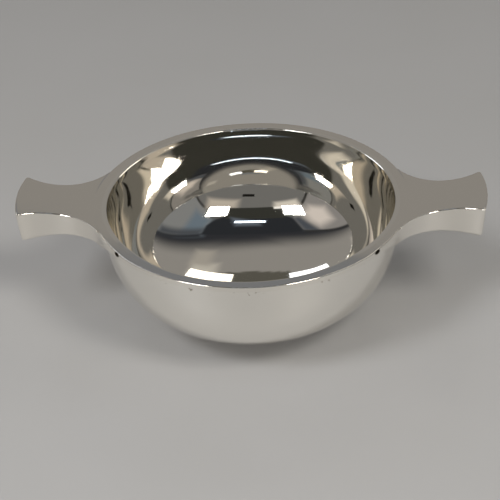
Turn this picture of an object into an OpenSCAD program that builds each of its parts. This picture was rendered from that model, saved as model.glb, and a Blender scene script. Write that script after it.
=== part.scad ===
// Quaich: a shallow two-lugged silver drinking bowl.
// Millimetres. The origin is the middle of the flat that it stands on, +Z is up and the lugs lie along X.

/* [Bowl] */
// Diameter over the outside of the rim
rim_d = 76; // [66:0.5:90]
// Thickness of the sheet that the bowl is spun from
bowl_wall = 0.7; // [0.4:0.05:1.4]
// Height of the upright wall between the rim and the shoulder
lip_h = 4.8; // [4:0.1:12]
// Outside radius of the shoulder that turns the wall under
shoulder_r = 25.5; // [16:0.1:28]
// Outside radius of the flatter curve below the shoulder
bottom_r = 40; // [36:0.5:90]
// Diameter of the flat that the bowl stands on
base_d = 10; // [4:0.5:18]

/* [Rim wire] */
// Width of the flat wire on top, outside the bowl's own edge
wire_w = 2.2; // [1:0.1:3]
// Height of the flat wire
wire_h = 1.4; // [1.2:0.1:2.4]

/* [Lugs] */
// Length of a lug, from the rim to the middle of its tip
lug_l = 18.5; // [14:0.5:30]
// Distance of the narrowest place from the rim
neck_off = 9.6; // [7:0.1:12]
// Width of a lug at its narrowest place
neck_w = 13.6; // [10:0.2:20]
// Radius of the curved end of a lug
tip_r = 38; // [20:1:80]
// How far the top of a lug climbs above the rim at its tip
tip_rise = 2; // [0.6:0.1:5]
// How far inside the rim the curve of a lug's top would lie level
top_lead = 5; // [2:0.5:10]
// Depth of the underside below the rim, at the tip
tip_depth = 6.2; // [5.4:0.1:9]
// Radius of the curve of the underside
under_r = 90; // [70:1:160]
// Thickness of the flat plate on top of a lug
plate_t = 0.9; // [0.5:0.1:1.1]
// Thickness of the pressed pan below the plate
pan_t = 0.9; // [0.5:0.1:1.4]
// Thickness that a lug's flank is filed down to where it dies into the rim
flank_edge = 0.2; // [0.1:0.05:0.5]
// Angle from the lug's middle line to the end of the pan's wing below the wire
wing_angle = 34.5; // [27:0.5:38]
// Diameter of the vent hole under each lug
vent_d = 1.2; // [0.6:0.1:2]
// Distance of the vent hole from the rim
vent_off = 4; // [2:0.2:8]

/* [Hidden] */
$fn = 96;
silver_top = "#a9a59d";
silver_side = "#cfcac1";
silver_bowl = "#bdb8af";

// Radii of the rim, of the bowl's outer wall and of the flat
rim_r = rim_d / 2;
bowl_r = rim_r - wire_w;
base_r = base_d / 2;

// Centre of the shoulder curve, which runs into the bottom curve without a corner
shoulder_x = bowl_r - shoulder_r;
shoulder_z = bottom_r - sqrt(pow(bottom_r - shoulder_r, 2) - pow(shoulder_x - base_r, 2));
bowl_h = shoulder_z + lip_h;

// Direction from the bottom curve's centre to the shoulder's centre
turn = [shoulder_x - base_r, shoulder_z - bottom_r] / (bottom_r - shoulder_r);

// Height of the wire's underside
wire_z = bowl_h - wire_h;

// A lug's flank is one arc that leaves the rim without a corner and is narrowest at the neck
neck_x = rim_r + neck_off;
tip_x = rim_r + lug_l;
neck_gap = rim_r - neck_w / 2;
flank_y = (neck_x * neck_x - neck_gap * neck_gap) / (2 * neck_gap);
flank_r = flank_y - neck_w / 2;

// Angle at which a flank is still one filed edge away from the rim
root_arc = sqrt(2 * flank_edge / (1 / rim_r + 1 / flank_r));
root_angle = atan2(flank_y, neck_x) - root_arc / rim_r * 180 / PI;

// The top of a lug is one arc through the rim and the tip, with its centre high above both
arc_l = lug_l + top_lead;
top_z = bowl_h + tip_rise;
top_up = (arc_l * arc_l - top_lead * top_lead - tip_rise * tip_rise) / (2 * tip_rise);
top_r = sqrt(arc_l * arc_l + top_up * top_up);

// Overshoot of cutting shapes, and a length past every part of a lug
cut = 1;
far = 2 * tip_x;

// Half section of the space inside the bowl's outline, drawn in by a wall
module bowl_section(wall) {
    translate([0, wall]) square([base_r, bowl_h]);
    translate([0, shoulder_z]) square([bowl_r - wall, bowl_h]);
    translate([shoulder_x, shoulder_z]) intersection() {
        circle(r = shoulder_r - wall);
        translate([-shoulder_x, -shoulder_z]) square([rim_r, shoulder_z + cut]);
    }
    translate([base_r, bottom_r]) intersection() {
        circle(r = bottom_r - wall);
        polygon([[0, 0], [0, -far], far * turn]);
    }
}

// Spun bowl, open at the top
module bowl() {
    color(silver_bowl) rotate_extrude() difference() {
        intersection() {
            bowl_section(0);
            square([rim_r, bowl_h]);
        }
        intersection() {
            bowl_section(bowl_wall);
            square([rim_r, bowl_h + cut]);
        }
    }
}

// Flat wire round the outside of the lip, flush with it on top
module rim_wire() {
    color(silver_top) rotate_extrude() translate([bowl_r, wire_z]) square([wire_w, wire_h]);
}

// Room that the bowl's lip and the wire take up
module inside_rim() {
    cylinder(r = bowl_r, h = bowl_h);
    translate([0, 0, wire_z]) cylinder(r = rim_r, h = wire_h + tip_rise);
}

// Slice of the plan on both sides of a lug's middle line
module wedge(angle) {
    polygon([[0, 0], far * [cos(angle), -sin(angle)], far * [cos(angle), sin(angle)]]);
}

// Outline of a lug from above, drawn in by a wall
module fishtail(wall) {
    difference() {
        intersection() {
            wedge(root_angle);
            translate([tip_x - tip_r, 0]) circle(r = tip_r - wall);
        }
        for (side = [-1, 1])
            translate([neck_x, side * flank_y]) circle(r = flank_r + wall);
    }
}

// Everything below the top face of a lug, lowered by a drop
module under_top(drop) {
    difference() {
        translate([0, -far / 2, 0]) cube([far, far, top_z + cut]);
        translate([rim_r - top_lead, 0, top_z + top_up]) rotate([90, 0, 0])
            cylinder(r = top_r + drop, h = far + cut, center = true, $fn = 360);
    }
}

// Everything above the curved underside of a lug, raised by a wall
module over_belly(wall) {
    translate([tip_x, 0, bowl_h - tip_depth + under_r]) rotate([90, 0, 0])
        cylinder(r = under_r - wall, h = far, center = true, $fn = 360);
}

// Flat plate that closes a lug and carries the rim's top face outwards
module lug_plate() {
    color(silver_top) difference() {
        intersection() {
            linear_extrude(top_z) fishtail(0);
            under_top(0);
        }
        under_top(plate_t);
        inside_rim();
    }
}

// Pressed pan: sides, underside and wings of a lug, open to the bowl and to the plate
module lug_pan() {
    color(silver_side) difference() {
        intersection() {
            union() {
                linear_extrude(top_z) fishtail(0);
                linear_extrude(wire_z) intersection() {
                    wedge(wing_angle);
                    circle(r = rim_r);
                }
            }
            over_belly(0);
            under_top(plate_t);
        }
        intersection() {
            linear_extrude(top_z) fishtail(pan_t);
            over_belly(pan_t);
        }
        inside_rim();
        translate([rim_r + vent_off, 0, 0]) cylinder(d = vent_d, h = bowl_h - plate_t - pan_t);
    }
}

bowl();
rim_wire();
mirror([1, 0, 0]) lug_plate();  // left_lug_plate
mirror([1, 0, 0]) lug_pan();  // left_lug_pan
lug_plate();  // right_lug_plate
lug_pan();  // right_lug_pan
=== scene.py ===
import math

import bmesh
import bpy
from mathutils import Matrix, Vector


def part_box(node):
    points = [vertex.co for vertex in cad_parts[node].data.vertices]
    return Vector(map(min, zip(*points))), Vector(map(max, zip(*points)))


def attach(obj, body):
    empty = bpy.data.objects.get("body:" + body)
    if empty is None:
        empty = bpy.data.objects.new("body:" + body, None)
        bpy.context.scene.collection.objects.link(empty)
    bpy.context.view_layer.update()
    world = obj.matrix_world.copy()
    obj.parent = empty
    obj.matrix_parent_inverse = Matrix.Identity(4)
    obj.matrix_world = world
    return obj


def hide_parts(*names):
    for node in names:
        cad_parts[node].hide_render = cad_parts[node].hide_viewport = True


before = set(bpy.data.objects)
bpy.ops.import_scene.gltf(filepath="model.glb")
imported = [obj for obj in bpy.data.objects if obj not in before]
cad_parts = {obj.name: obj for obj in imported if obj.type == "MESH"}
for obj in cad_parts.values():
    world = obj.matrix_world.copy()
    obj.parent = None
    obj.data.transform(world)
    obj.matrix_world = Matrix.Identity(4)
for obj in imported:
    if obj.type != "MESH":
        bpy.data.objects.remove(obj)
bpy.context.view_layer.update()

MM = 0.001

# Sizes that the frame gives, in millimetres
wire_low, wire_high = (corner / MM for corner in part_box("rim_wire"))
plate_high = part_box("right_lug_plate")[1] / MM
pan_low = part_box("right_lug_pan")[0] / MM
RIM_R = wire_high.x
RIM_Z = wire_high.z
WIRE_Z = wire_low.z
BOWL_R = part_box("bowl")[1].x / MM
TIP_X = plate_high.x
TIP_RISE = plate_high.z - RIM_Z
UNDER_Z = pan_low.z

# Spun bowl: both walls are flattened ellipses, so the wall turns under more tightly than the bottom.
# The inside tapers a little towards the bottom and stands in at the mouth.
BOWL_WALL = 0.7
BOTTOM_T = 1.3
INNER_DEPTH = RIM_Z - BOTTOM_T
INNER_POWER = 4.02
INNER_TAPER = 0.081
MOUTH_IN = 0.31
MOUTH_DEPTH = 9.25
FLAT_CUT = 0.22
OUTER_DEPTH = RIM_Z + FLAT_CUT
OUTER_POWER = 2.9
STEPS_ROUND = 320
STEPS_DOWN = 110

# Lip: its inner edge is worn round between the lugs, most of all at the front, and leaves a narrow land
# beside the wire. Turns are degrees from a lug.
LIP_W = 1.1
LIP_H = 1.2
LIP_LAND = 0.05
LIP_SHARP = 0.08
LIP_WORN_FRONT = 1.0
LIP_WORN_BACK = 0.3
LIP_TURN_FRONT = (38, 72)
LIP_TURN_BACK = (64, 84)
STEPS_LIP = 12

# Grains of solder on the bowl's outside, as heights below the wire
FLECK_TOP = 0.9
FLECK_FOOT = 2.6

# Rim wire
WIRE_TOP_ROUND = 0.12
WIRE_FILED_ROUND = 0.2
WIRE_LOW_ROUND = 0.3
WIRE_EDGE = 1.4 * WIRE_FILED_ROUND
STEPS_FILED = 10

# Lugs from above
NECK_OFF = 9.6
NECK_W = 13.6
TIP_R = 38.0
CORNER_R = 0.6
ROOT_GAP = 0.15
ROOT_LAP = 0.02
WING_ANGLE = 34.5
WING_CLIMB = 22.0
WING_SKIN = 0.015
SEAM_STEP = 0.003
END_DRAFT = math.tan(math.radians(5))

# Lugs from the side
TOP_LEAD = 5.0
UNDER_R = 90.0
PLATE_T = 0.9
PAN_T = 0.9
PLATE_ROUND = 0.28
PAN_ROUND = 0.9
ROOT_SHARE = 0.14
ROOT_EDGE = 0.3
ROOT_LEVEL = 8.0
EDGE_FROM = 1.0
EDGE_FULL = 8.0
SUPPORT = 0.03
VENT_D = 1.2
VENT_OFF = 4.0

# Filing of the rim's outer top edge: rounded past each lug, and leaning back past each front wing
ROOT_TURN = 21.7
FILED_TURN = (ROOT_TURN, ROOT_TURN + 6)
LEAN_BACK = 0.35
LEAN_START = (ROOT_TURN - 2.5, ROOT_TURN + 4)
LEAN_END = (WING_ANGLE - 2, WING_ANGLE + 10)

# Gap that the solder left open past the end of each wing
PIT_ANGLE = 37.8
PIT_DROP = 0.5
PIT_W = 1.9
PIT_TALL = 0.95
PIT_DEPTH = 0.7

# Steps of the lugs' curves
STEPS_ACROSS = 64
STEPS_CORNER = 12
STEPS_FLANK = 56
STEPS_LEAD = 6
STEPS_WING = 16
STEPS_WING_END = 4
STEPS_EDGE = 5
STEPS_CUTTER = 28

# Meshes: points closer than this are merged, thinner slivers are dissolved, and steeper edges stay crisp
MERGE = 0.002
SLIVER = 0.001
CREASE = math.radians(38)


def linear(hex_colour, alpha=1.0):
    """An sRGB hex colour as linear RGBA."""
    channels = [int(hex_colour[i:i + 2], 16) / 255 for i in (1, 3, 5)]
    return [c / 12.92 if c <= 0.04045 else ((c + 0.055) / 1.055) ** 2.4 for c in channels] + [alpha]


def add(tree, kind, links=None, **settings):
    """Adds a node with its settings, and links or sets the inputs that links names."""
    node = tree.nodes.new(kind)
    for name, value in settings.items():
        setattr(node, name, value)
    for name, source in (links or {}).items():
        if isinstance(source, bpy.types.NodeSocket):
            tree.links.new(source, node.inputs[name])
        else:
            node.inputs[name].default_value = source
    return node


def new_material(name):
    """An empty node material: its tree and its output node."""
    material = bpy.data.materials.new(name)
    material.use_nodes = True
    material.node_tree.nodes.clear()
    return material, material.node_tree, add(material.node_tree, "ShaderNodeOutputMaterial")


def solder_flecks(tree, place, colour, low, high, inner_r):
    """Dull grains of solder that ran out of a seam: in a band of heights, on the outside only."""
    height = add(tree, "ShaderNodeSeparateXYZ", {"Vector": place}).outputs["Z"]
    off = add(tree, "ShaderNodeMath", {0: height, 1: (low + high) / 2 * MM}, operation="SUBTRACT")
    away = add(tree, "ShaderNodeMath", {0: off.outputs[0]}, operation="ABSOLUTE")
    half = (high - low) / 2 * MM
    band = add(tree, "ShaderNodeMapRange", {
        "Value": away.outputs[0], "From Min": half, "From Max": half * 0.6, "To Min": 0.0, "To Max": 1.0})
    level = add(tree, "ShaderNodeVectorMath", {0: place, 1: (1, 1, 0)}, operation="MULTIPLY")
    reach = add(tree, "ShaderNodeVectorMath", {0: level.outputs[0]}, operation="LENGTH")
    outside = add(tree, "ShaderNodeMath", {0: reach.outputs["Value"], 1: inner_r * MM},
                  operation="GREATER_THAN")
    grain = add(tree, "ShaderNodeTexNoise", {"Vector": place, "Scale": 1 / (1.1 * MM), "Detail": 2.0})
    spots = add(tree, "ShaderNodeMapRange", {
        "Value": grain.outputs["Fac"], "From Min": 0.64, "From Max": 0.72, "To Min": 0.0, "To Max": 0.75})
    seam = add(tree, "ShaderNodeMath", {0: band.outputs[0], 1: outside.outputs[0]}, operation="MULTIPLY")
    share = add(tree, "ShaderNodeMath", {0: seam.outputs[0], 1: spots.outputs[0]}, operation="MULTIPLY")
    # A Mix node's sockets 6 and 7 are its two colours, and its third output is the mixed one
    mixed = add(tree, "ShaderNodeMix", {0: share.outputs[0], 6: linear(colour), 7: linear("#8d8474")},
                data_type="RGBA")
    return mixed.outputs[2]


def polished_silver(name, colour, roughness, stretch, scratch_mm, wave_mm, wave_high, flecks=None):
    """Sterling silver polished on a mop: a bright warm mirror, not quite even, with wiped hairlines."""
    material, tree, output = new_material(name)
    place = add(tree, "ShaderNodeTexCoord").outputs["Object"]
    # Real hairlines are far finer: these are drawn as coarse as they need to be to show
    hair_place = add(tree, "ShaderNodeMapping", {"Vector": place, "Scale": stretch})
    hair = add(tree, "ShaderNodeTexNoise", {
        "Vector": hair_place.outputs[0], "Scale": 1 / (scratch_mm * MM), "Detail": 3.0, "Roughness": 0.7})
    hairlines = add(tree, "ShaderNodeMapRange", {
        "Value": hair.outputs["Fac"], "From Min": 0.62, "From Max": 0.78, "To Min": 0.0, "To Max": 1.0})
    wave = add(tree, "ShaderNodeTexNoise", {"Vector": place, "Scale": 1 / (wave_mm * MM), "Detail": 1.0})
    wave_bump = add(tree, "ShaderNodeBump", {
        "Height": wave.outputs["Fac"], "Strength": 1.0, "Distance": wave_high * MM})
    bump = add(tree, "ShaderNodeBump", {
        "Height": hairlines.outputs[0], "Strength": 0.35, "Distance": 0.002 * MM,
        "Normal": wave_bump.outputs[0]}, invert=True)
    film = add(tree, "ShaderNodeTexNoise", {"Vector": place, "Scale": 1 / (9 * MM), "Detail": 4.0})
    haze = add(tree, "ShaderNodeMapRange", {
        "Value": film.outputs["Fac"], "From Min": 0.3, "From Max": 0.75,
        "To Min": roughness * 0.7, "To Max": roughness * 1.5})
    gloss = add(tree, "ShaderNodeMath", {0: hairlines.outputs[0], 1: 0.10, 2: haze.outputs[0]},
                operation="MULTIPLY_ADD")
    shader = add(tree, "ShaderNodeBsdfPrincipled", {
        "Base Color": solder_flecks(tree, place, colour, *flecks) if flecks else linear(colour),
        "Metallic": 1.0, "Roughness": gloss.outputs[0], "Normal": bump.outputs[0]})
    tree.links.new(shader.outputs[0], output.inputs["Surface"])
    return material


def oxide_and_painted_shade():
    """Lining of the cut pits and vent: partly silver sulphide that a mop can't reach, partly painted shade
    of the hollow; dark brown-grey and dull.
    """
    material, tree, output = new_material("oxide_and_painted_shade")
    place = add(tree, "ShaderNodeTexCoord").outputs["Object"]
    crust = add(tree, "ShaderNodeTexNoise", {"Vector": place, "Scale": 1 / (0.3 * MM), "Detail": 4.0})
    colour = add(tree, "ShaderNodeValToRGB", {"Fac": crust.outputs["Fac"]})
    colour.color_ramp.elements[0].color = linear("#1d1a17")
    colour.color_ramp.elements[1].color = linear("#4a4238")
    shader = add(tree, "ShaderNodeBsdfPrincipled", {
        "Base Color": colour.outputs[0], "Metallic": 0.6, "Roughness": 0.55})
    tree.links.new(shader.outputs[0], output.inputs["Surface"])
    return material


# Colour, roughness, stretch of the hairlines and their width, width and height of the unevenness
BOWL_SILVER = polished_silver("spun_polished_silver", "#f7f4ed", 0.03, (1, 1, 9), 0.9, 11, 0.03,
                              (WIRE_Z - FLECK_FOOT, WIRE_Z - FLECK_TOP, BOWL_R - BOWL_WALL))
RIM_SILVER = polished_silver("filed_polished_silver", "#f5f1e9", 0.05, (1, 6, 1), 0.7, 9, 0.01)
LUG_SILVER = polished_silver("flat_polished_silver", "#f5f1e9", 0.05, (7, 1, 1), 0.7, 8, 0.012)
# Dark lining of the cut pits and vent: partly oxide, partly painted shade of the hollow
OXIDE_AND_SHADE = oxide_and_painted_shade()


def finish_mesh(piece, node):
    """Merges doubles, splits faces, turns them outwards, and hands the piece to the frame."""
    mesh = piece.data
    work = bmesh.new()
    work.from_mesh(mesh)
    bmesh.ops.remove_doubles(work, verts=work.verts, dist=MERGE * MM)
    bmesh.ops.triangulate(work, faces=[face for face in work.faces if len(face.verts) > 3])
    bmesh.ops.dissolve_degenerate(work, edges=work.edges, dist=SLIVER * MM)
    bmesh.ops.recalc_face_normals(work, faces=work.faces)
    work.to_mesh(mesh)
    work.free()
    mesh.shade_smooth()
    mesh.set_sharp_from_angle(angle=CREASE)
    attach(piece, "root")
    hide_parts(node)


def new_piece(name, mesh):
    """A mesh as an object of the scene, at the origin."""
    piece = bpy.data.objects.new(name, mesh)
    bpy.context.scene.collection.objects.link(piece)
    return piece


# Turned pieces


def lathe_tree():
    """Geometry Nodes: turns a half section, drawn as points in the XZ plane, once round Z."""
    tree = bpy.data.node_groups.new("turn_half_section", "GeometryNodeTree")
    tree.is_modifier = True
    for name, kind in (("Half section", "Geometry"), ("Steps round", "Int"), ("Metal", "Material")):
        tree.interface.new_socket(name, in_out="INPUT", socket_type="NodeSocket" + kind)
    tree.interface.new_socket("Turned", in_out="OUTPUT", socket_type="NodeSocketGeometry")
    inputs = add(tree, "NodeGroupInput").outputs
    section, steps, metal = inputs["Half section"], inputs["Steps round"], inputs["Metal"]
    points = add(tree, "GeometryNodeAttributeDomainSize", {"Geometry": section}).outputs["Point Count"]
    columns = add(tree, "ShaderNodeMath", {0: steps, 1: 1.0}, operation="ADD").outputs[0]
    sheet = add(tree, "GeometryNodeMeshGrid", {"Vertices X": columns, "Vertices Y": points}).outputs["Mesh"]
    index = add(tree, "GeometryNodeInputIndex").outputs[0]
    row = add(tree, "FunctionNodeIntegerMath", {0: index, 1: points}, operation="MODULO").outputs[0]
    column = add(tree, "FunctionNodeIntegerMath", {0: index, 1: points},
                 operation="DIVIDE_FLOOR").outputs[0]
    share = add(tree, "ShaderNodeMath", {0: column, 1: steps}, operation="DIVIDE").outputs[0]
    angle = add(tree, "ShaderNodeMath", {0: share, 1: 2 * math.pi}, operation="MULTIPLY").outputs[0]
    spot = add(tree, "GeometryNodeInputPosition").outputs[0]
    drawn = add(tree, "GeometryNodeSampleIndex", {"Geometry": section, "Value": spot, "Index": row},
                data_type="FLOAT_VECTOR", domain="POINT").outputs[0]
    turned = add(tree, "ShaderNodeVectorRotate", {"Vector": drawn, "Angle": angle},
                 rotation_type="Z_AXIS").outputs[0]
    moved = add(tree, "GeometryNodeSetPosition", {"Geometry": sheet, "Position": turned}).outputs[0]
    closed = add(tree, "GeometryNodeMergeByDistance",
                 {"Geometry": moved, "Distance": SLIVER * MM}).outputs[0]
    real = add(tree, "GeometryNodeRealizeInstances", {"Geometry": closed}).outputs[0]
    metalled = add(tree, "GeometryNodeSetMaterial", {"Geometry": real, "Material": metal}).outputs[0]
    add(tree, "NodeGroupOutput", {"Turned": metalled})
    return tree


LATHE = lathe_tree()


def turned_piece(name, section, metal):
    """A half section of (radius, height) points in millimetres, turned into a plain mesh."""
    mesh = bpy.data.meshes.new(name + "_section")
    mesh.from_pydata([(r * MM, 0, z * MM) for r, z in section], [], [])
    drawing = new_piece(name + "_drawing", mesh)
    modifier = drawing.modifiers.new("turn", "NODES")
    modifier.node_group = LATHE
    values = {"Steps round": STEPS_ROUND, "Metal": metal}
    for item in LATHE.interface.items_tree:
        if item.name in values:
            modifier[item.identifier] = values[item.name]
    turned = drawing.evaluated_get(bpy.context.evaluated_depsgraph_get())
    result = bpy.data.meshes.new_from_object(turned)
    bpy.data.objects.remove(drawing)
    return new_piece(name, result)


def ease(value, start, end):
    """0 before start, 1 after end, and a smooth slope between them."""
    share = min(1, max(0, (value - start) / (end - start)))
    return share * share * (3 - 2 * share)


def turn_from_lug(spot):
    """Degrees from the nearer lug's middle line to a spot, seen from above."""
    return math.degrees(math.atan2(abs(spot.y), abs(spot.x)))


def closing_in(steps):
    """Shares from 1 to 0 that lie closer and closer together."""
    return [(1 - i / steps) ** 2 for i in range(steps + 1)]


def flattened_ellipse(radius, depth, power, start, end, taper=0.0):
    """Points of a bowl wall; the share goes from 0 at the mouth to 1 at the middle of the bottom."""
    points = []
    for step in range(STEPS_DOWN + 1):
        share = start + (end - start) * step / STEPS_DOWN
        turn = math.pi / 2 * share ** (power / 2)
        down = math.sin(turn) ** (2 / power)
        points.append((radius * (1 - taper * down) * math.cos(turn), RIM_Z - depth * down))
    return points


def rounded(r, z, radius, start, end):
    """Points of a quarter round about a centre, in degrees from +R towards +Z."""
    turns = [start + (end - start) * i / STEPS_EDGE for i in range(STEPS_EDGE + 1)]
    return [(r + radius * math.cos(math.radians(t)), z + radius * math.sin(math.radians(t))) for t in turns]


def straight(a, b, margin=SUPPORT):
    """A straight stretch with a support point close to each end, which keeps it flat when it is shaded."""
    length = math.dist(a, b)
    shares = (0, margin / length, 1 - margin / length, 1)
    return [(a[0] + (b[0] - a[0]) * s, a[1] + (b[1] - a[1]) * s) for s in shares]


def bowl_section():
    """From the middle of the standing flat up the outside, over the lip and down the inside."""
    flat = math.asin((RIM_Z / OUTER_DEPTH) ** (OUTER_POWER / 2))
    flat_share = (flat / (math.pi / 2)) ** (2 / OUTER_POWER)
    outside = flattened_ellipse(BOWL_R, OUTER_DEPTH, OUTER_POWER, flat_share, 0)
    mouth_r = BOWL_R - BOWL_WALL
    inside = flattened_ellipse(mouth_r, INNER_DEPTH, INNER_POWER, LIP_H / INNER_DEPTH, 1, INNER_TAPER)
    inside = [(r - MOUTH_IN * (1 - ease(RIM_Z - z, 0, MOUTH_DEPTH)), z) for r, z in inside]
    lip_r = inside[0][0]
    reach = min(LIP_W, BOWL_R - lip_r - LIP_LAND)
    near_edge = closing_in(STEPS_LIP)
    lip = [(lip_r + reach * gap, RIM_Z) for gap in near_edge]
    lip += [(lip_r, RIM_Z - LIP_H * gap) for gap in near_edge[-2:0:-1]]
    return [(0, 0)] + outside + lip + inside


def wear_lip(mesh):
    """Rounds the lip's inner edge: worn between the lugs, nearly sharp beside them."""
    lip_r = BOWL_R - BOWL_WALL - MOUTH_IN
    for vertex in mesh.vertices:
        spot = vertex.co / MM
        radius = math.hypot(spot.x, spot.y)
        if spot.z < RIM_Z - LIP_H or radius > BOWL_R - LIP_LAND / 2:
            continue
        most, turns = (LIP_WORN_FRONT, LIP_TURN_FRONT) if spot.y < 0 else (LIP_WORN_BACK, LIP_TURN_BACK)
        worn = LIP_SHARP + (most - LIP_SHARP) * ease(turn_from_lug(spot), *turns)
        wide, tall = LIP_W * worn, LIP_H * worn
        corner = Vector((1 - (radius - lip_r) / wide, 1 - (RIM_Z - spot.z) / tall))
        if min(corner) > 0 and corner.length > 1:
            corner.normalize()
            out = (lip_r + wide * (1 - corner.x)) / radius
            vertex.co = Vector((spot.x * out, spot.y * out, RIM_Z - tall * (1 - corner.y))) * MM


def wire_section():
    """The flat wire's closed section, from the top beside the lip outwards and round."""
    near_edge = [WIRE_FILED_ROUND * gap for gap in closing_in(STEPS_FILED)]
    top = straight((BOWL_R, RIM_Z), (RIM_R - WIRE_EDGE, RIM_Z)) + [(RIM_R - gap, RIM_Z) for gap in near_edge]
    side = [(RIM_R, RIM_Z - gap) for gap in near_edge[-2::-1]] + [(RIM_R, RIM_Z - WIRE_EDGE)]
    lower = rounded(RIM_R - WIRE_LOW_ROUND, WIRE_Z + WIRE_LOW_ROUND, WIRE_LOW_ROUND, 0, -90)
    return top + side + lower + [(BOWL_R, WIRE_Z), (BOWL_R, RIM_Z)]


bowl = turned_piece("bowl_spun", bowl_section(), BOWL_SILVER)
wear_lip(bowl.data)
finish_mesh(bowl, "bowl")


# Lugs

NECK_X = RIM_R + NECK_OFF
NECK_GAP = RIM_R - NECK_W / 2
FLANK_Y = (NECK_X ** 2 - NECK_GAP ** 2) / (2 * NECK_GAP)
FLANK_R = FLANK_Y - NECK_W / 2
FLANK_C = Vector((NECK_X, FLANK_Y))
TANGENT = math.atan2(FLANK_Y, NECK_X)
ARC_L = TIP_X - RIM_R + TOP_LEAD
TOP_UP = (ARC_L ** 2 - TOP_LEAD ** 2 - TIP_RISE ** 2) / (2 * TIP_RISE)
TOP_R = math.hypot(ARC_L, TOP_UP)
LUG_DEPTH = RIM_Z + TIP_RISE - UNDER_Z


def file_edge(mesh, skin=0.0):
    """Rounds the rim's outer top edge between the lugs, and leans it back past each wing at the front."""
    for vertex in mesh.vertices:
        spot = vertex.co / MM
        radius, height = math.hypot(spot.x, spot.y), spot.z
        turn = turn_from_lug(spot)
        soft = WIRE_TOP_ROUND + (WIRE_FILED_ROUND - WIRE_TOP_ROUND) * ease(turn, *FILED_TURN)
        corner = Vector((radius - RIM_R + soft, height - RIM_Z + soft))
        if radius < RIM_R + 2 * WING_SKIN and min(corner) > 0 and corner.length > soft + skin:
            corner *= (soft + skin) / corner.length
            radius, height = corner.x + RIM_R - soft, corner.y + RIM_Z - soft
        if spot.y < 0 and radius > BOWL_R:
            share = ease(turn, *LEAN_START) * (1 - ease(turn, *LEAN_END))
            lean = min(1, max(0, (height - WIRE_Z) / (RIM_Z - WIRE_Z)))
            radius -= LEAN_BACK * share * lean * (radius - BOWL_R) / (RIM_R - BOWL_R)
        out = radius / math.hypot(spot.x, spot.y)
        vertex.co = Vector((spot.x * out, spot.y * out, height)) * MM


def edge_share(x, y):
    """Share of an edge's full rounding: little beside the rim, all of it towards the tip."""
    return ROOT_SHARE + (1 - ROOT_SHARE) * ease(math.hypot(x, y) - RIM_R, EDGE_FROM, EDGE_FULL)


def top_arc(x):
    """Height of the lug's top curve, through the rim and the tip."""
    return RIM_Z + TIP_RISE + TOP_UP - math.sqrt(TOP_R ** 2 - (x - RIM_R + TOP_LEAD) ** 2)


def top_height(x, y):
    """Height of the top face, level with the wire all along the root."""
    root_x = math.sqrt(max(0, RIM_R ** 2 - y * y))
    return top_arc(x) + (RIM_Z - top_arc(root_x)) * (1 - ease(x - root_x, 0, ROOT_LEVEL))


def seam_height(x, y):
    """Height where plate and pan meet; past the plate's end the pan laps up the wire's side."""
    beside = ease(math.hypot(x, y) - RIM_R, ROOT_GAP - SEAM_STEP, ROOT_GAP)
    lap = RIM_Z - ROOT_EDGE
    return lap + (top_height(x, y) - PLATE_T - lap) * beside


def under_height(x, y):
    """Height of the underside: lowest at the tip, and up to the wire's lower edge at a wing's end."""
    belly = UNDER_Z + (TIP_X - x) ** 2 / (2 * UNDER_R)
    turn = math.degrees(math.atan2(abs(y), x))
    return belly + (WIRE_Z - belly) * ease(turn, WING_CLIMB, WING_ANGLE)


def spread(start, end, steps):
    """Evenly spaced values, both ends included."""
    return [start + (end - start) * i / steps for i in range(steps + 1)]


def polar(radius, turn):
    """A point of the plan at a radius and an angle in radians."""
    return Vector((radius * math.cos(turn), radius * math.sin(turn)))


def arc_points(centre, radius, start, end, steps):
    """Points along an arc, both ends included, angles in radians."""
    return [Vector(centre) + polar(radius, turn) for turn in spread(start, end, steps)]


def half_outline(inset, tip_x, start_r):
    """Flank, rounded corner and tip arc of one half of a lug from above; the flank starts at a radius."""
    flank_r, tip_r = FLANK_R + inset, TIP_R - inset
    tip_c = Vector((tip_x - TIP_R, 0))
    gap = FLANK_C - tip_c
    along = ((tip_r - CORNER_R) ** 2 - (flank_r + CORNER_R) ** 2 + gap.length_squared) / (2 * gap.length)
    aside = math.sqrt((tip_r - CORNER_R) ** 2 - along ** 2)
    across = Vector((gap.y, -gap.x)).normalized()
    corner = tip_c + gap.normalized() * along + across * aside
    reach = FLANK_C.length
    swing = math.acos((reach ** 2 + start_r ** 2 - flank_r ** 2) / (2 * reach * start_r))
    start, to_corner, out = polar(start_r, TANGENT - swing) - FLANK_C, corner - FLANK_C, corner - tip_c
    start_a, end_a = (math.atan2(v.y, v.x) % (2 * math.pi) for v in (start, to_corner))
    out_a = math.atan2(out.y, out.x)
    flank = arc_points(FLANK_C, flank_r, start_a, end_a, STEPS_FLANK)
    lead = arc_points(FLANK_C, flank_r, TANGENT + math.pi, start_a - SUPPORT / flank_r, STEPS_LEAD)
    round_off = arc_points(corner, CORNER_R, end_a - math.pi, out_a, STEPS_CORNER)
    tip_arc = arc_points(tip_c, tip_r, out_a, -out_a, STEPS_ACROSS - 2 * STEPS_CORNER)
    return lead, flank, round_off, tip_arc


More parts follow.
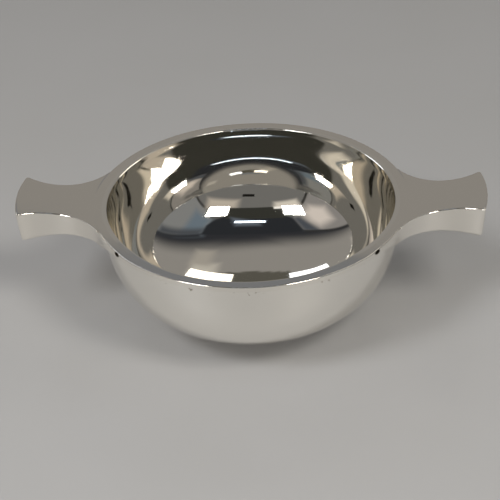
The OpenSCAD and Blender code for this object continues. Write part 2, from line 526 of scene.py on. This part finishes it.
def lug_sides(inset, drop, root_r, start_r=RIM_R + ROOT_GAP, winged=False):
    """Root, near flank, far flank and tip of a lug from above, from root to tip or from near to far."""
    lead, flank, corner, tip_arc = half_outline(inset, TIP_X - END_DRAFT * drop, start_r)
    if winged:
        wing_r = RIM_R + WING_SKIN - inset
        wing_a = math.radians(WING_ANGLE) - inset / RIM_R
        end = [polar(r, wing_a) for r in spread(root_r, wing_r, STEPS_WING_END)]
        flank = [p.normalized() * max(p.length, wing_r) for p in lead + flank]
        flank_a = math.atan2(flank[0].y, flank[0].x)
        flank = end[:-1] + arc_points((0, 0), wing_r, wing_a, flank_a, STEPS_WING)[:-1] + flank
        wing = spread(wing_a, flank_a, STEPS_WING)[:-1]
        turns = [-a for a in wing] + spread(-flank_a, flank_a, STEPS_ACROSS) + wing[::-1]
    else:
        flank_a = math.atan2(flank[0].y, flank[0].x)
        flank = [polar(root_r, flank_a)] + flank
        turns = spread(-flank_a, flank_a, STEPS_ACROSS)
    tip = corner + tip_arc[1:-1] + [Vector((p.x, -p.y)) for p in corner[::-1]]
    near = [Vector((p.x, -p.y)) for p in flank]
    return {"root": [polar(root_r, a) for a in turns], "near": near, "far": flank, "tip": tip[::-1]}


def drawn_in(inset, drop, root_r, winged=False):
    """Sides with their full inset at the tip and less and less towards the root."""
    plain = lug_sides(0, drop, root_r, winged=winged)
    inner = lug_sides(inset, drop, root_r, winged=winged)
    for name in ("near", "far", "tip"):
        start = 0 if name == "tip" else 1
        for i in range(start, len(plain[name])):
            share = edge_share(*plain[name][i])
            plain[name][i] = plain[name][i].lerp(inner[name][i], share)
    return plain


def lifted(sides, height):
    """The sides as points in space, at the height that a function of the plan gives."""
    return {name: [Vector((p.x, p.y, height(p.x, p.y))) for p in points] for name, points in sides.items()}


def bridge(work, row, next_row):
    """Faces between two rows of as many points."""
    for a, b, c, d in zip(row, row[1:], next_row[1:], next_row):
        work.faces.new((a, b, c, d))


def cover(work, ring, loop, point, winged):
    """Closes a ring: along the wire a strip between the wings, and from there rows of points to the tip."""
    root, near, far, tip = (ring[name] for name in ("root", "near", "far", "tip"))
    wide, deep, across = len(root) - 1, len(far) - 1, len(tip) - 1
    near_side = [loop[(wide + across + 2 * deep - i) % len(loop)] for i in range(deep + 1)]
    far_side = [loop[wide + i] for i in range(deep + 1)]
    end_row = [loop[wide + deep + across - j] for j in range(across + 1)]
    row, line, first = loop[:wide + 1], root, 0
    if winged:
        for i in range(1, STEPS_WING_END + 1):
            line = [p.xy.normalized() * near[i].xy.length for p in root]
            next_row = [near_side[i]] + [point(*p) for p in line[1:-1]] + [far_side[i]]
            if i == STEPS_WING_END:
                for k in range(1, STEPS_WING + 1):
                    work.verts.remove(next_row[k])
                    work.verts.remove(next_row[-1 - k])
                    next_row[k], next_row[-1 - k] = near_side[i + k], far_side[i + k]
            bridge(work, row, next_row)
            row = next_row
        first = STEPS_WING_END + STEPS_WING
        row, line = row[STEPS_WING:-STEPS_WING], line[STEPS_WING:-STEPS_WING]
    for i in range(first + 1, deep):
        u = (i - first) / (deep - first)
        next_row = [near_side[i]]
        for a, b in zip(line[1:-1], tip[1:-1]):
            bulge = (a.x - line[0].x) * (1 - u) + (b.x - tip[0].x) * u
            share = a.y / line[-1].y * (1 - u) + b.y / tip[-1].y * u
            next_row.append(point(near[i].x + bulge, far[i].y * share))
        next_row.append(far_side[i])
        bridge(work, row, next_row)
        row = next_row
    bridge(work, row, end_row)


def lug_mesh(name, rings, caps, mirror, metal, winged=False):
    """A closed solid lofted through rings, with a curved cover over the first and the last one."""
    work = bmesh.new()
    flip = -1 if mirror else 1
    place = lambda x, y, z: work.verts.new((flip * x * MM, y * MM, z * MM))
    loops = []
    for ring in rings:
        points = ring["root"][:-1] + ring["far"][:-1] + ring["tip"][::-1][:-1] + ring["near"][::-1][:-1]
        loops.append([place(*p) for p in points])
    for lower, upper in zip(loops, loops[1:]):
        bridge(work, lower + lower[:1], upper + upper[:1])
    for ring, loop, height in ((rings[0], loops[0], caps[0]), (rings[-1], loops[-1], caps[1])):
        cover(work, ring, loop, lambda x, y: place(x, y, height(x, y)), winged)
    bmesh.ops.recalc_face_normals(work, faces=work.faces)
    mesh = bpy.data.meshes.new(name)
    work.to_mesh(mesh)
    work.free()
    mesh.materials.append(metal)
    return mesh


def quarter_steps(radius):
    """How far in from a side and how far from a face each step of a rounded edge lies."""
    for turn in spread(0, math.pi / 2, STEPS_EDGE):
        yield radius * (1 - math.sin(turn)), radius * (1 - math.cos(turn))


def plate_rings():
    """From the top face over the soft top edge and down to the seam with the pan."""
    root_r = RIM_R - ROOT_LAP
    rings = []
    for inset, drop in quarter_steps(PLATE_ROUND):
        below = lambda x, y, d=drop: top_height(x, y) - d * edge_share(x, y)
        rings.append(lifted(drawn_in(inset, drop, root_r), below))
    under_edge = lambda x, y: top_height(x, y) - PLATE_ROUND * edge_share(x, y) - SUPPORT
    rings.append(lifted(lug_sides(0, PLATE_ROUND, root_r), under_edge))
    seam = lug_sides(0, PLATE_T, root_r)
    rings.append(lifted(seam, lambda x, y: seam_height(x, y) + SUPPORT))
    rings.append(lifted(seam, seam_height))
    return rings


def pan_rings():
    """From the underside over the soft lower edge and up the outside to the seam."""
    rings = []
    for inset, rise in quarter_steps(PAN_ROUND):
        above = lambda x, y, d=rise: under_height(x, y) + d * edge_share(x, y)
        rings.append(lifted(drawn_in(inset, LUG_DEPTH, BOWL_R, winged=True), above))
    over_edge = lambda x, y: under_height(x, y) + PAN_ROUND * edge_share(x, y) + SUPPORT
    rings.append(lifted(lug_sides(0, LUG_DEPTH, BOWL_R, winged=True), over_edge))
    seam = lug_sides(0, PLATE_T, BOWL_R, winged=True)
    rings.append(lifted(seam, lambda x, y: seam_height(x, y) - SUPPORT))
    rings.append(lifted(seam, seam_height))
    return rings


def hollow_floor(x, y):
    """Height of the pan's inner floor."""
    return under_height(x, y) + PAN_T


def hollow_top(x, y):
    """A height clear of the plate, so that the hollow opens the pan."""
    return top_height(x, y) + PLATE_T


def hollow_rings():
    """The room inside a pan, from its floor to past its seam."""
    root_r = RIM_R + PAN_T
    low = lug_sides(PAN_T, LUG_DEPTH, root_r, root_r + ROOT_GAP)
    high = lug_sides(PAN_T, PLATE_T, root_r, root_r + ROOT_GAP)
    return [lifted(low, hollow_floor), lifted(high, hollow_top)]


def cut_away(piece, cutter):
    """Cuts one solid out of another for good; the cut faces keep the cutter's material."""
    modifier = piece.modifiers.new("cut", "BOOLEAN")
    modifier.operation, modifier.object, modifier.solver = "DIFFERENCE", cutter, "EXACT"
    modifier.material_mode = "TRANSFER"
    done = bpy.data.meshes.new_from_object(piece.evaluated_get(bpy.context.evaluated_depsgraph_get()))
    piece.modifiers.clear()
    piece.data = done
    bpy.data.objects.remove(cutter)


def round_cutter(name, width, length, place):
    """A cylinder along its own Z, laid in place, lined with the dark oxide and painted shade."""
    work = bmesh.new()
    bmesh.ops.create_cone(work, cap_ends=True, segments=STEPS_CUTTER, radius1=width / 2 * MM,
                          radius2=width / 2 * MM, depth=length * MM, matrix=place)
    mesh = bpy.data.meshes.new(name)
    work.to_mesh(mesh)
    work.free()
    mesh.materials.append(OXIDE_AND_SHADE)
    return new_piece(name, mesh)


def vent_place(side):
    """Straight up through the underside."""
    vent_x = RIM_R + VENT_OFF
    return Matrix.Translation(Vector((side * vent_x, 0, under_height(vent_x, 0))) * MM)


def pit_place(side):
    """Square into the wire's side at the front, and longer along the rim than it is tall."""
    angle = math.radians(PIT_ANGLE)
    out = Vector((side * math.cos(angle), -math.sin(angle), 0))
    spot = Matrix.Translation((out * RIM_R + Vector((0, 0, RIM_Z - PIT_DROP))) * MM)
    across = Vector((0, 0, 1)).cross(out)
    axes = Matrix((across, out.cross(across), out)).transposed().to_4x4()
    return spot @ axes @ Matrix.Diagonal((1.0, PIT_TALL / PIT_W, 1.0, 1.0))


wire = turned_piece("rim_wire_filed", wire_section(), RIM_SILVER)
file_edge(wire.data)
for side, side_name in ((-1, "left"), (1, "right")):
    name = side_name + "_lug_plate_filed"
    plate = new_piece(name, lug_mesh(name, plate_rings(), (top_height, seam_height), side < 0, LUG_SILVER))
    file_edge(plate.data)
    finish_mesh(plate, side_name + "_lug_plate")

    name = side_name + "_lug_pan_pressed"
    mesh = lug_mesh(name, pan_rings(), (under_height, seam_height), side < 0, LUG_SILVER, winged=True)
    file_edge(mesh, WING_SKIN)
    pan = new_piece(name, mesh)
    hollow = lug_mesh("hollow", hollow_rings(), (hollow_floor, hollow_top), side < 0, LUG_SILVER)
    cut_away(pan, new_piece("hollow", hollow))
    # The vent's and the pit's cut faces take the dark lining: painted shade of the hollow as well as oxide
    cut_away(pan, round_cutter("vent", VENT_D, 3 * PAN_T, vent_place(side)))
    finish_mesh(pan, side_name + "_lug_pan")
    cut_away(wire, round_cutter("pit", PIT_W, 2 * PIT_DEPTH, pit_place(side)))
finish_mesh(wire, "rim_wire")


# Stage: a pale table in a light tent

# Sizes in metres, and the tent's steps in degrees: closer together where the flat tops mirror the tent
TENT_R = 1.3
SLOT_R = 0.98 * TENT_R
LAMP_R = 0.7
TABLE_R = 2.2
TABLE_STEPS = 64
TENT_COLUMNS = 360
TENT_RINGS = spread(0.5, 52.5, 52) + spread(53, 57, 16) + spread(57.5, 92.5, 35)


def sky(right, back, distance=TENT_R):
    """A point of the tent as seen from the bowl: degrees to the right of and behind the point overhead."""
    away = math.radians(math.hypot(right, back))
    turn = math.atan2(right, back)
    level = math.sin(away)
    return Vector((math.sin(turn) * level, math.cos(turn) * level, math.cos(away))) * distance


def inside_by(spot, corners):
    """How far a spot lies inside a convex panel, in degrees; negative outside. Corners run clockwise."""
    depth = 360.0
    for a, b in zip(corners, corners[1:] + corners[:1]):
        edge = Vector(b) - Vector(a)
        depth = min(depth, (edge.y * (spot.x - a[0]) - edge.x * (spot.y - a[1])) / edge.length)
    return depth


# Panels of the tent in the order they are hung: corners in degrees to the right and to the back,
# colour, and the soft edge's width in degrees
TENT_CLOTH = "#8d8b86"
TENT_PANELS = (
    ("low_front", ((-95, -20), (95, -20), (95, -95), (-95, -95)), "#8f8b84", 10),
    ("front_wall", ((-72, 14), (72, 18), (74, -10), (60, -50), (40, -68), (0, -79), (-40, -68), (-60, -50),
                    (-74, -10)), "#6d6c6a", 5),
    ("top_sheet", ((-68, 9), (-68, 75), (68, 75), (68, 15), (30, 3), (0, -2), (-30, 0)), "#8b8884", 4),
    ("sheet_shade_left", ((-72, 13), (-30, 11), (10, 10), (10, -20), (-72, -20)), "#2e2f33", 18),
    ("sheet_shade_right", ((-8, 9), (30, 18), (72, 26), (72, -20), (-8, -20)), "#2e2f33", 20),
    ("back_gap", ((-13, 36.5), (-13, 55.0), (9, 55.0), (9, 36.5), (-2, 35)), "#56544d", 0.5),
    ("back_gap_foot", ((-16, 48), (-16, 55.0), (12, 55.0), (12, 48)), "#75777b", 0.5),
    ("back_streak_high", ((10, 30), (9, 40), (20, 40), (21, 30)), "#b8b3aa", 5),
    ("back_streak_low", ((14, 19), (13, 32), (22, 32), (23, 19)), "#9f9a92", 6),
    ("left_edge_spot", ((-66, 22), (-58, 36), (-50, 36), (-58, 22)), "#aaa69f", 5),
    ("left_wall", ((-70, 8), (-28, -1), (-26, -19), (-38, -36), (-54, -53), (-66, -34), (-72, -10)),
     "#858280", 2),
    ("left_wall_sheen", ((-58, -8), (-42, -4), (-37, -12), (-36, -26), (-46, -34), (-60, -26)),
     "#cdc4bd", 13),
    ("left_wall_shade", ((-40, 3), (-28, -1), (-26, -19), (-31, -20)), "#4a4e55", 6),
    ("right_wall", ((28, 3), (68, 15), (72, -10), (66, -34), (58, -48), (42, -36), (28, -18)),
     "#7d7e7e", 3),
    ("right_wall_shade", ((28, 3), (44, 7), (48, -30), (28, -18)), "#66727d", 10),
    ("right_wall_top", ((28, 3), (66, 14), (68, 4), (28, -6)), "#484b50", 10),
    ("left_hem", ((-68, 10.5), (-28, 1.5), (-28, -1.5), (-68, 7)), "#303031", 3),
    ("right_hem", ((28, 5), (67, 16), (68, 13), (28, 1)), "#2d2f33", 4),
    ("left_seam", ((-54.5, -51.5), (-38, -34.5), (-36.5, -36.5), (-53, -54)), "#2a2927", 1.5),
    ("right_seam", ((41, -33.5), (59, -46.5), (58, -49), (40, -36)), "#3c3b3a", 1.5),
    ("left_glow", ((-39, -34), (-15, -36), (-17, -46), (-38, -47)), "#d0c9be", 7),
    ("right_glow", ((14, -37), (40, -36), (44, -50), (14, -51)), "#b6ada1", 9),
    ("open_top", ((-28, 0), (28, 2), (29, -10), (25, -19), (18, -25), (-21, -25), (-26, -18)),
     "#292b2f", 2),
    ("open_front", ((-21.5, -20), (19, -20), (19.5, -37.5), (-14, -38.5), (-21.5, -35)), "#343430", 1.5),
    ("bar_glow", ((-4, -10), (10, -10), (15, -22), (-4, -16)), "#5e6670", 5),
    ("left_lamp_foot", ((-22, -34.8), (-15, -34.8), (-15, -38.5), (-22, -38.5)), "#f4f0ea", 1),
)


def tent_colour(spot):
    """Colour of the tent at a spot, with each panel laid over the ones before it."""
    colour = Vector(linear(TENT_CLOTH)[:3])
    for name, corners, panel, soft in TENT_PANELS:
        share = ease(inside_by(spot, corners), -soft / 2, soft / 2)
        colour = colour.lerp(Vector(linear(panel)[:3]), share)
    return colour


def light_tent():
    """A dome of lit cloth, with its panels' colours on its points."""
    work = bmesh.new()
    paint = work.verts.layers.float_color.new("cloth")
    grid = []
    for away in TENT_RINGS:
        row = []
        for column in range(TENT_COLUMNS):
            turn = 2 * math.pi * column / TENT_COLUMNS
            spot = Vector((math.sin(turn), math.cos(turn))) * away
            vertex = work.verts.new(sky(spot.x, spot.y))
            vertex[paint] = (*tent_colour(spot), 1)
            row.append(vertex)
        grid.append(row)
    work.faces.new(grid[0])
    for inner, outer in zip(grid, grid[1:]):
        for i in range(TENT_COLUMNS):
            j = (i + 1) % TENT_COLUMNS
            work.faces.new((inner[i], inner[j], outer[j], outer[i]))
    mesh = bpy.data.meshes.new("light_tent")
    work.to_mesh(mesh)
    work.free()
    material, tree, output = new_material("lit_tent_cloth")
    cloth = add(tree, "ShaderNodeAttribute", attribute_name="cloth")
    shader = add(tree, "ShaderNodeEmission", {"Color": cloth.outputs["Color"], "Strength": 1.0})
    tree.links.new(shader.outputs[0], output.inputs["Surface"])
    mesh.materials.append(material)
    new_piece("light_tent", mesh)


def lens_slot(right, back, width, height):
    """The dark slit in the front of the tent."""
    ways = ((-1, -1), (1, -1), (1, 1), (-1, 1))
    corners = [sky(right + i * width / 2, back + j * height / 2, SLOT_R) for i, j in ways]
    mesh = bpy.data.meshes.new("lens_slot")
    mesh.from_pydata(corners, [], [range(4)])
    material, tree, output = new_material("dark_slit")
    shader = add(tree, "ShaderNodeEmission", {"Color": linear("#1b1a18"), "Strength": 1.0})
    tree.links.new(shader.outputs[0], output.inputs["Surface"])
    mesh.materials.append(material)
    new_piece("lens_slot", mesh)


def lamp(name, right, back, width, height, brightness, colour, mirrored=True):
    """A soft lamp that faces the bowl: place, width and height in degrees, and whether metal mirrors it."""
    data = bpy.data.lights.new(name, "AREA")
    data.shape = "RECTANGLE"
    data.size, data.size_y = (2 * LAMP_R * math.tan(math.radians(s / 2)) for s in (width, height))
    data.energy = brightness * math.pi * data.size * data.size_y
    data.color = linear(colour)[:3]
    piece = bpy.data.objects.new(name, data)
    spot = sky(right, back, LAMP_R)
    outward = spot.normalized()
    level = (Vector((1, 0, 0)) - outward * outward.x).normalized()
    axes = Matrix((level, outward.cross(level), outward)).transposed()
    piece.matrix_world = Matrix.Translation(spot) @ axes.to_4x4()
    piece.visible_glossy = mirrored
    bpy.context.scene.collection.objects.link(piece)


def table_top():
    """A pale matt sheet under everything."""
    mesh = bpy.data.meshes.new("table")
    work = bmesh.new()
    bmesh.ops.create_circle(work, cap_ends=True, segments=TABLE_STEPS, radius=TABLE_R)
    work.to_mesh(mesh)
    work.free()
    material, tree, output = new_material("matt_white_sheet")
    place = add(tree, "ShaderNodeTexCoord").outputs["Object"]
    grain = add(tree, "ShaderNodeTexNoise", {"Vector": place, "Scale": 1 / (60 * MM), "Detail": 3.0})
    colour = add(tree, "ShaderNodeValToRGB", {"Fac": grain.outputs["Fac"]})
    colour.color_ramp.elements[0].color = linear("#b1b1b0")
    colour.color_ramp.elements[1].color = linear("#b7b7b8")
    shader = add(tree, "ShaderNodeBsdfPrincipled", {"Base Color": colour.outputs[0], "Roughness": 0.5})
    tree.links.new(shader.outputs[0], output.inputs["Surface"])
    mesh.materials.append(material)
    new_piece("table", mesh)


table_top()
light_tent()
lens_slot(5.7, -59, 11.5, 4.2)

# Lamps: degrees to the right and to the back, width, height, brightness and colour.
# The low strips only brighten the sheet.
lamp("front_left_lamp", -29.5, -29.6, 15, 14, 16.0, "#ffffff")
lamp("front_right_lamp", 27.3, -30.2, 15.5, 14.5, 16.0, "#fffaf2")
lamp("back_left_lamp", -20.5, 41.5, 15, 8.5, 2.0, "#f0f6ff")
lamp("back_right_lamp", 11.5, 41.5, 15, 9, 2.0, "#fff8ec")
lamp("ceiling_bar", 2.0, -14.6, 18.5, 2.8, 3.2, "#dcebff")
lamp("front_strip", 0.0, -83.0, 90, 8, 7.0, "#fff8f0", mirrored=False)
lamp("left_strip", -76.0, -34.0, 60, 8, 10.0, "#fff8f0", mirrored=False)
lamp("right_strip", 76.0, -34.0, 60, 8, 6.0, "#f4f8ff", mirrored=False)
bpy.context.scene.world = bpy.data.worlds.new("unlit_room")

# Camera, at the photograph's angle

SENSOR = 36.0
FRAME_PX = 500
FOCAL_PX = 1706.81
CAMERA_ELEVATION = math.radians(31.16)
CAMERA_TURN = 0.0644130
CAMERA_ROLL = -0.0448529
CAMERA_DISTANCE = 410.2
RIM_PIXEL = Vector((252.941, 199.023))

rim_centre = Vector((0, 0, RIM_Z))
back = Vector((
    math.sin(CAMERA_TURN) * math.cos(CAMERA_ELEVATION),
    -math.cos(CAMERA_TURN) * math.cos(CAMERA_ELEVATION),
    math.sin(CAMERA_ELEVATION)))
right = (-back).cross(Vector((0, 0, 1))).normalized()
up = right.cross(-back)
aside = (RIM_PIXEL.x - FRAME_PX / 2) / FOCAL_PX
above = -(RIM_PIXEL.y - FRAME_PX / 2) / FOCAL_PX
pitch = Matrix.Rotation(-math.atan2(above, math.hypot(1, aside)), 3, right)
swing = Matrix.Rotation(math.atan2(aside, 1), 3, up)
look, lift = swing @ pitch @ -back, swing @ pitch @ up
flat_right = look.cross(lift)
level = flat_right * math.cos(CAMERA_ROLL) + lift * math.sin(CAMERA_ROLL)
upright = lift * math.cos(CAMERA_ROLL) - flat_right * math.sin(CAMERA_ROLL)

lens = bpy.data.cameras.new("camera")
lens.sensor_width = SENSOR
lens.lens = FOCAL_PX / FRAME_PX * SENSOR
lens.clip_start, lens.clip_end = 0.01, 20
camera = bpy.data.objects.new("camera", lens)
axes = Matrix((level, upright, -look)).transposed()
camera.matrix_world = Matrix.Translation((rim_centre + back * CAMERA_DISTANCE) * MM) @ axes.to_4x4()
bpy.context.scene.collection.objects.link(camera)
bpy.context.scene.camera = camera
bpy.context.scene.view_settings.view_transform = "Standard"
bpy.context.scene.cycles.max_bounces = 24
bpy.context.scene.cycles.glossy_bounces = 20

bpy.context.view_layer.update()
